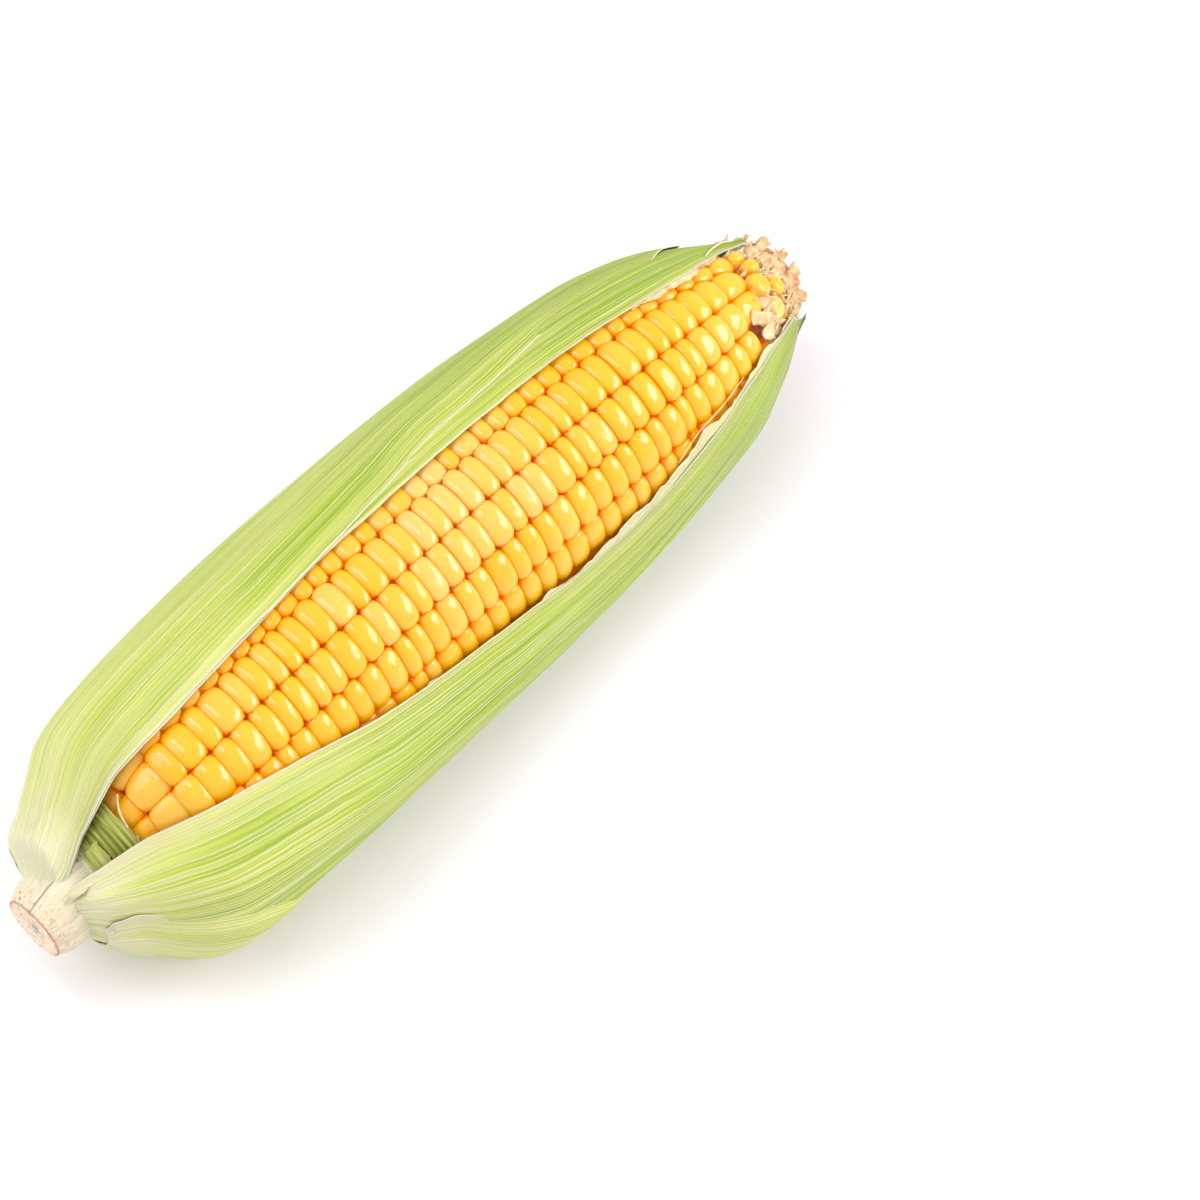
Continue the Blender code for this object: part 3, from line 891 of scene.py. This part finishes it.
def make_husk():
    """Five leaves. The curves give the angles of their edges by station."""
    upper_inner, upper_outer, lower_inner, lower_outer, back = (
        husk_material(f"husk_leaf_{k}", k) for k in (1, 2, 3, 4, 5)
    )
    inner_back = curve_through(((7, -150), (150, -150), (190, -142), (208, -115), (218, -92)))
    make_leaf("leaf_upper_inner", 0, (LEAF_ROOT, 218), inner_back, upper_edge, "high",
              upper_paleness, upper_inner, "husk_upper_inner", end=finger_ends)
    outer_back = curve_through(((7, -155), (150, -155), (190, -140), (205, -95)))
    outer_front = curve_through(((7, 10), (9.5, 9), (13.5, 1), (18, -6), (26, -6), (36, -3), (45, -2),
                                 (68, -4.5), (96, -9), (112, -12.5), (128, -18), (144, -19.5), (167, -24.5),
                                 (191, -27), (205, -50)))
    make_leaf("leaf_upper_outer", 1, (LEAF_ROOT, 205), outer_back, outer_front, "high",
              upper_paleness, upper_outer, "husk_upper_outer")
    papery_front = curve_through(((30, 39), (54, 53), (77, 67), (100, 76.5), (122, 81.5), (134, 82.5),
                                  (146, 81), (156, 76.5), (178, 67), (200, 61), (212, 66)))
    papery_back = curve_through(((30, 180), (150, 180), (190, 165), (212, 130)))
    torn = waves(7, 26, 2.5)
    torn_front = lambda s: papery_front(s) + 2.6 * torn(s) + 1.2
    make_leaf("leaf_lower_inner", 0, (30, 212), torn_front, papery_back, "low",
              papery_paleness, lower_inner, "husk_lower_inner", relief=papery_flutter)
    main_back = curve_through(((7, 196), (150, 196), (190, 182), (208, 150), (217.5, 112)))
    make_leaf("leaf_lower_outer", 1, (LEAF_ROOT, 217.5), lower_edge, main_back, "low",
              lower_paleness_shaded, lower_outer, "husk_lower_outer")
    back_front = curve_through(((9.2, 78), (10.5, 67), (13.7, 65), (18, 70), (26, 76), (33, 83), (41, 94),
                                (48, 108), (60, 125), (80, 134), (150, 146), (190, 160), (211, 172)))
    back_back = curve_through(((9.2, 262), (30, 260), (100, 255), (150, 248), (190, 228), (211, 205)))
    make_leaf("leaf_back", 2, (9.2, 211), back_front, back_back, "low",
              back_paleness, back, "husk_back")


# ---------------------------------------------------------------- stem


STEM_END = 18.4  # station inside the husk
FACE_RADIUS = 7.0


def make_stem():
    """The cut stem: a fibrous face with a browned rim, and pale flesh that runs in under the leaves."""
    sides, face_rings = 96, 14
    lumps, fine = waves(5, 180, 25), waves(6, 30, 5)
    angle = np.arange(sides) * 360 / sides
    rings, zones = [], []
    for k in range(face_rings):
        share = (k + 0.6) / face_rings
        saw_marks = 0.16 * np.sin(angle / 7 + 5 * share) * share
        dish = 0.5 * (1 - share**2) + saw_marks + 0.12 * fine(angle + 31 * k)
        dish = np.maximum(dish * smooth_step((1 - share) * 6 + 0.15), 0.0)
        rings.append(place(dish, angle, FACE_RADIUS * share))
        zones.append(1 - share)
    for station in np.concatenate((np.linspace(0.12, 8, 44), np.linspace(9, STEM_END, 10))):
        swell = 1 + (0.02 * lumps(angle) + 0.012 * fine(angle + 3 * station)) * smooth_step(station / 3)
        rings.append(place(station, angle, stem_radius(station) * swell))
        zones.append(-station)
    rings = np.array(rings)[:, ::-1]
    faces = [kind[:, ::-1] for kind in closed_rings(rings)]
    zones = np.array(zones)[:, None]
    uv = np.stack(np.broadcast_arrays(angle[::-1] * math.radians(8.6), np.maximum(-zones, 0.0)), -1)
    uv = np.concatenate((uv.reshape(-1, 2), ((0, 0), (0, 18))))
    zone = np.concatenate((np.repeat(zones, sides), (1.0, -STEM_END)))
    points = point_list(rings, place(0.6, 0, 0), place(STEM_END, 0, 0))
    piece = make_mesh("stem", points, faces, stem_material(), uv=uv, values={"zone": zone})
    stand_for(piece, "shank")


# ---------------------------------------------------------------- cob and chaff


CORE_END = 219.4
CORE_INSET = 0.7  # the cob's own surface lies this far below its chaff


def make_core(material):
    """The lumpy cob between the kernels, worn at its broken end."""
    sides = 72
    angle = np.arange(sides) * 360 / sides
    lumps, bumps = waves(6, 120, 14), waves(6, 9, 1.5)
    rings, tones = [], []
    for station in (*np.linspace(19.2, 26, 8), *np.linspace(32, 200, 40), *np.linspace(204, CORE_END, 30)):
        rough = 0.35 * lumps(angle + 7 * bumps(station)) + 0.25 * bumps(angle / 5 + 1.7 * station)
        rings.append(place(station, angle, cob_radius(station) - CORE_INSET + rough * 0.7))
        tones.append(0.45 + 0.3 * smooth_step((station - 214) / 6))
    for share in (0.85, 0.6, 0.35, 0.15):
        worn = CORE_END - 0.7 * (1 - share) + 0.3 * lumps(angle * 2 + 60 * share)
        rings.append(place(worn, angle, (float(cob_radius(CORE_END)) - CORE_INSET) * share))
        tones.append(1.0 - 0.5 * (1 - share))
    rings = np.array(rings)
    uv = np.stack((np.broadcast_to(angle * 0.2, rings.shape[:2]), rings[..., 0]), -1)
    uv = np.concatenate((uv.reshape(-1, 2), ((0, 0), (0, 0))))
    tone = np.concatenate((np.repeat(tones, sides), (0.6, 0.8)))
    points = point_list(rings, rings[0].mean(0), rings[-1].mean(0))
    piece = make_mesh("cob_core", points, closed_rings(rings), material, uv=uv, values={"tone": tone})
    stand_for(piece, "cob")


FLAKE_ROWS, FLAKE_COLUMNS = 7, 6
FLAKE_THICKNESS = 0.12


def flake_points(station, angle, radius, heading, lift, length, width, curl, cup, ragged):
    """Outer and inner points of a thin curled flake rooted at a place on the ear.

    heading turns it from tip-ward round the ear, lift tilts it off the surface, in degrees.
    """
    root = place(station, angle, radius)
    outward = place(station, angle, radius + 1) - root
    ahead = np.array((1.0, 0, 0))
    round_ear = np.cross(ahead, outward)
    heading, lift = math.radians(heading), math.radians(lift)
    flat = math.cos(heading) * ahead + math.sin(heading) * round_ear
    side = np.cross(flat, outward)
    along = math.cos(lift) * flat + math.sin(lift) * outward
    normal = np.cross(side, along)
    torn = 1 + ragged * rng.uniform(-1, 0.6, FLAKE_COLUMNS)
    u = np.linspace(0, 1, FLAKE_ROWS)[:, None]
    u = u * (1 + (torn - 1) * u**2)
    v = np.broadcast_to(np.linspace(-1, 1, FLAKE_COLUMNS), u.shape)
    spread = 0.6 + 0.4 * np.sin(np.clip(u, 0, 1) * math.pi * 0.7)
    bend = curl * u
    reach = length * np.where(abs(curl) > 0.05, np.sin(bend) / (curl or 1), u)
    rise = length * np.where(abs(curl) > 0.05, (1 - np.cos(bend)) / (curl or 1), 0)
    rise = rise + cup * v**2 * width / 2 + rng.normal(0, 0.06, u.shape)
    points = root + reach[..., None] * along + rise[..., None] * normal
    points = points + (v * spread * width / 2)[..., None] * side
    half = FLAKE_THICKNESS / 2 * normal
    uv = np.stack((v * width / 2 + rng.uniform(0, 50), u * length), -1)
    return points + half, points - half, uv, u


def make_flakes(name, flakes, material):
    """Many flakes in one piece. A flake is the arguments of flake_points, then its tone."""
    points, uvs, tones, faces = [], [], [], []
    for *shape, tone in flakes:
        outer, inner, uv, u = flake_points(*shape)
        start = 2 * FLAKE_ROWS * FLAKE_COLUMNS * len(faces)
        faces.append([kind + start for kind in sheet_faces(FLAKE_ROWS, FLAKE_COLUMNS)])
        points += [outer, inner]
        uvs += [uv.reshape(-1, 2)] * 2
        tones += [(tone + 0.25 * (u - 0.5)).ravel()] * 2
    faces = [np.concatenate(kind) for kind in zip(*faces)]
    values = {"tone": np.concatenate(tones)}
    piece = make_mesh(name, point_list(*points), faces, material, uv=np.concatenate(uvs), values=values)
    add_trim(piece)


def scattered_flakes():
    """Chaff all over the tip, between the last kernels and the broken end."""
    flakes = []
    for station in np.arange(205.4, 217.5, 2.3):
        radius = float(cob_radius(station)) - 0.5
        for angle in np.arange(0, 360, 17) + rng.uniform(0, 17):
            spot = station + rng.normal(0, 0.5), angle + rng.normal(0, 5), radius
            turn = rng.normal(0, 34), rng.uniform(-4, 14)
            size = rng.uniform(2.4, 3.6), rng.uniform(2.4, 3.7)
            tone = np.clip(rng.normal(0.16 + 0.035 * (station - 205), 0.12), 0, 0.9)
            flakes.append((*spot, *turn, *size, rng.normal(0, 0.6), rng.normal(0.1, 0.2), 0.3, tone))
    return flakes


def gap_flakes():
    """Crumpled chaff that fills the gap between the last whole kernels and the undeveloped ones."""
    flakes = []
    spots = ((201.2, 48), (201.4, 57), (201.2, 66), (202.8, 44), (203.0, 53), (203.2, 62), (203.0, 71),
             (204.6, 41), (204.8, 49), (205.0, 58), (204.8, 67), (206.4, 43), (206.8, 62))
    for station, angle in spots:
        radius = float(ear_radius(station)) - 1.7
        turn = rng.normal(0, 30), rng.uniform(0, 12)
        size = rng.uniform(2.6, 3.4), rng.uniform(3.2, 4.2)
        bend = rng.normal(0, 0.4), rng.normal(0.2, 0.2)
        flakes.append((station, angle, radius, *turn, *size, *bend, 0.15, rng.uniform(0.15, 0.45)))
    return flakes


def end_flakes():
    """The torn rim of the broken end: short fibrous shreds that point along the ear."""
    flakes = []
    for station, inset, tone in ((214.3, 0.1, 0.5), (215.4, 0.8, 0.72), (216.3, 1.6, 0.98)):
        radius = float(cob_radius(station)) - inset
        for angle in np.arange(0, 360, 24) + rng.uniform(0, 24):
            spot = station + rng.normal(0, 0.3), angle + rng.normal(0, 5), radius
            turn = rng.normal(0, 14), rng.uniform(-30, -12)
            size = rng.uniform(1.9, 2.6), rng.uniform(3.6, 5.4)
            bend = rng.normal(0, 0.35), rng.normal(0, 0.15)
            flakes.append((*spot, *turn, *size, *bend, 0.22, rng.normal(tone, 0.12)))
    return flakes


def collar_flakes(small):
    """Glumes that cup the undeveloped kernels on their tip-ward side."""
    flakes = []
    for station, angle, length, width, *_ in small:
        for way in (-100, -50, 0, 50, 100):
            turn = math.radians(way)
            spot_station = station + math.cos(turn) * (length / 2 + 0.2)
            radius = float(ear_radius(station)) - 1.6
            spot_angle = angle + math.degrees(math.sin(turn) * (width / 2 + 0.2) / radius)
            lower = radius - 0.45 * (spot_station - station)
            flakes.append((spot_station, spot_angle, lower, way, rng.uniform(50, 68), rng.uniform(1.3, 1.8),
                           rng.uniform(2.8, 3.6), rng.normal(0.4, 0.2), -0.25, 0.2, rng.uniform(0.0, 0.15)))
    return flakes


def butt_glumes():
    """Pale glumes that cup the first kernels behind the stub."""
    return [(23.6, angle, 12.4, rng.normal(0, 6), 72, height, 4.4, -0.45, -0.3, 0.0, 0.1)
            for angle, height in ((24, 2.0), (37, 2.2))]


def make_cob(small, chaff):
    """The cob and everything papery on it."""
    make_core(chaff)
    make_flakes("chaff_tip", scattered_flakes() + gap_flakes(), chaff)
    make_flakes("chaff_end", end_flakes(), chaff)
    make_flakes("glumes_tip", collar_flakes(small), chaff)
    make_flakes("glumes_butt", butt_glumes(), chaff)


# ---------------------------------------------------------------- leaf stub in the opening


def make_folded_sheet(name, stations, angles, lower_radius, ribs, pale, material, torn=0.0):
    """A small leaf whose veins run round the ear, folded over the stations it crosses."""
    ragged = waves(6, 12, 1.2)
    share = np.linspace(0, 1, 60)
    t = np.linspace(0, 1, 90)[:, None]
    start, stop = stations
    station = start + (stop + torn * ragged(share * 30) - start) * t
    first_angle, last_angle = angles
    angle = first_angle + (last_angle - first_angle) * share + 2.5 * ragged(station) * (share - 0.5)
    fold = station + 0.5 * np.sin(np.radians(angle * 3))
    rib = np.sin(2 * math.pi * fold / ribs)
    radius = lower_radius(station) + 0.13 * rib + 0.05 * np.sin(fold * 9.1)
    half = LEAF_THICKNESS / 2 - 0.06
    outer, inner = place(station, angle, radius + half), place(station, angle, radius - half)
    uv = np.stack((station, np.radians(angle) * 12), -1)
    tone = pale[0] + (pale[1] - pale[0]) * t + 0.14 * rib + 0.4 * np.exp(-(1 - t) * 22)
    return make_sheet(name, outer, inner, material, uv, {"pale": tone})


def make_stub():
    """The torn leaf in the opening, a flap of it across its foot, and the leaf base under both."""
    material = stub_material()
    under = curve_through(((8, 7.3), (14, 8.1), (20, 11.9), (25, 15.0)))
    over = curve_through(((15, 9.3), (17, 10.6), (20, 12.8)))
    beneath = curve_through(((8, 7.3), (14, 7.9), (18.5, 10.3)))
    main = make_folded_sheet("leaf_stub", (17.6, 24.7), (-32, 62), under, 1.15, (0.22, 0.34), material, 0.2)
    stand_for(main, "husk_stub")
    flap = make_folded_sheet("leaf_stub_flap", (15.7, 18.6), (4, 44), over, 1.6, (0.3, 0.42), material, 0.15)
    add_trim(flap)
    base = make_folded_sheet("leaf_stub_base", (8, 18.5), (-34, 62), beneath, 3.5, (2.1, 0.3), material)
    add_trim(base)


# ---------------------------------------------------------------- silk

# Each strand's route, as station, angle and height above the kernels, and its thickest radius
SILK_ROUTES = {
    "silk_strand_butt": (((27.2, 0, 0.9), (25.8, 5, 1.5), (25.0, 12, 1.9), (24.7, 21, 1.3)), 0.2),
    "silk_strand_tip": (((203, -14, 1.2), (207, -22, 1.3), (211, -30, 1.4), (214, -34, 1.2)), 0.22),
    "silk_strand_side": (((166, 72.5, 0.4), (174, 67, 0.1), (183, 65, 0.1), (190, 62.5, 0.2)), 0.11),
}


def make_silks():
    """Fine strands that taper to their ends."""
    material = silk_material()
    steps, sides = 60, 10
    turns = np.arange(sides) * 2 * math.pi / sides
    for node, (route, thickest) in SILK_ROUTES.items():
        t = np.linspace(0, len(route) - 1, steps)
        station, angle, height = (curve_through(tuple(enumerate(part)))(t) for part in zip(*route))
        line = place(station, angle, ear_radius(station) + height)
        heading = np.gradient(line, axis=0)
        heading /= np.linalg.norm(heading, axis=1, keepdims=True)
        side = np.cross(heading, (0.3, 0.2, 1.0))
        side /= np.linalg.norm(side, axis=1, keepdims=True)
        upward = np.cross(side, heading)
        size = thickest * (0.35 + 0.65 * np.sin(math.pi * np.linspace(0.08, 0.92, steps)))
        circle = np.cos(turns)[:, None] * side[:, None] + np.sin(turns)[:, None] * upward[:, None]
        rings = line[:, None] + circle * size[:, None, None]
        points = point_list(rings, line[0], line[-1])
        piece = make_mesh(node.replace("strand", "thread"), points, closed_rings(rings), material)
        stand_for(piece, node)


def make_membrane(material):
    """The dry membrane left beside the upper leaf's edge near the tip."""
    torn = waves(5, 9, 1.5)
    t = np.linspace(0, 1, 90)[:, None]
    share = np.linspace(0, 1, 16)
    station = np.broadcast_to(179 + 27 * t, (t.size, share.size))
    low = upper_edge(station) - 2
    high = upper_edge(station) + 2.6 * np.sin(math.pi * t) ** 0.6 + 0.9 * torn(station)
    angle = low + (np.maximum(high, low + 0.5) - low) * share
    radius = ear_radius(station) + 0.5 + 0.12 * np.sin(1.9 * station + 0.4 * angle) - 0.25 * share
    half = 0.05
    outer, inner = place(station, angle, radius + half), place(station, angle, radius - half)
    uv = np.stack((0.35 * angle, station), -1)
    tone = 0.3 + 0.3 * share + 0.1 * torn(station * 0.7)
    add_trim(make_sheet("leaf_membrane", outer, inner, material, uv, {"tone": tone}))


# ---------------------------------------------------------------- studio


FLOOR_SIZE = 8.0


def look_from(obj, position, target):
    """Put a light or a camera at a position, facing a target."""
    obj.location = position
    obj.rotation_euler = (Vector(target) - Vector(position)).to_track_quat("-Z", "Y").to_euler()


def softbox(name, direction, distance, width, height, power, roll=0.0):
    """An area light that shines on the ear from a direction, with its size in metres."""
    data = bpy.data.lights.new(name, "AREA")
    data.shape = "RECTANGLE"
    data.size, data.size_y = width, height
    data.energy = power
    light = bpy.data.objects.new(name, data)
    bpy.context.scene.collection.objects.link(light)
    centre = Vector((0, 0, AXIS_Z * MM))
    look_from(light, centre + Vector(direction).normalized() * distance, centre)
    light.rotation_euler.rotate_axis("Z", math.radians(roll))


def make_studio():
    """A white surround, three soft lights and a pale floor."""
    world = bpy.data.worlds.new("studio")
    world.use_nodes = True
    background = world.node_tree.nodes["Background"]
    background.inputs["Color"].default_value = (1.0, 1.0, 1.0, 1)
    background.inputs["Strength"].default_value = 0.8
    bpy.context.scene.world = world
    softbox("overhead", (-0.55, 0.45, 0.7), 1.6, 1.2, 1.2, 9)
    softbox("window", (-0.19, 0.19, 0.96), 1.3, 0.3, 1.0, 4, roll=-45)
    softbox("lamp", (0.69, -0.56, 0.45), 1.2, 0.9, 0.55, 10)
    mesh = bpy.data.meshes.new("floor")
    far = FLOOR_SIZE / 2
    mesh.from_pydata([(-far, -far, 0), (far, -far, 0), (far, far, 0), (-far, far, 0)], [], [(0, 1, 2, 3)])
    m = Material("pale_floor", Roughness=0.6)
    cloud = m.noise(m.position(), 40, 3)
    m.colour(m.mix(cloud, (0.88, 0.84, 0.9), (0.9, 0.86, 0.92)))
    mesh.materials.append(m.material)
    floor = bpy.data.objects.new("floor", mesh)
    bpy.context.scene.collection.objects.link(floor)
    bpy.context.scene.view_settings.view_transform = "Standard"


SENSOR_WIDTH = 36
CAMERA_ELEVATION = 60
CAMERA_TURN = 46.2  # the camera looks this far round from +Y towards +X
CAMERA_DISTANCE = 0.95
FRAME_WIDTH = 0.2518  # width of the view at the ear
EAR_LEFT = 0.1594  # how far left of the view's middle the ear's middle lies, as a share of the view
EAR_ABOVE = 0.0242  # and how far above it


def make_camera():
    """The camera looks down on the ear from beyond its stem."""
    data = bpy.data.cameras.new("camera")
    data.sensor_width = SENSOR_WIDTH
    data.lens = SENSOR_WIDTH * CAMERA_DISTANCE / FRAME_WIDTH
    camera = bpy.data.objects.new("camera", data)
    bpy.context.scene.collection.objects.link(camera)
    rise, turn = math.radians(CAMERA_ELEVATION), math.radians(CAMERA_TURN)
    forward = Vector((math.sin(turn) * math.cos(rise), math.cos(turn) * math.cos(rise), -math.sin(rise)))
    right = Vector((math.cos(turn), -math.sin(turn), 0))
    centre = Vector((0, (AXIS_Y + BOW) * MM, AXIS_Z * MM))
    above = right.cross(forward)
    target = centre + (right * EAR_LEFT - above * EAR_ABOVE) * FRAME_WIDTH
    look_from(camera, target - forward * CAMERA_DISTANCE, target)
    bpy.context.scene.camera = camera


make_camera()
small_kernels = [*SMALL_KERNELS, *hidden_small_kernels()]
make_kernels(small_kernels)
make_husk()
make_stem()
chaff = chaff_material()
make_cob(small_kernels, chaff)
make_stub()
make_silks()
make_membrane(chaff)
make_studio()
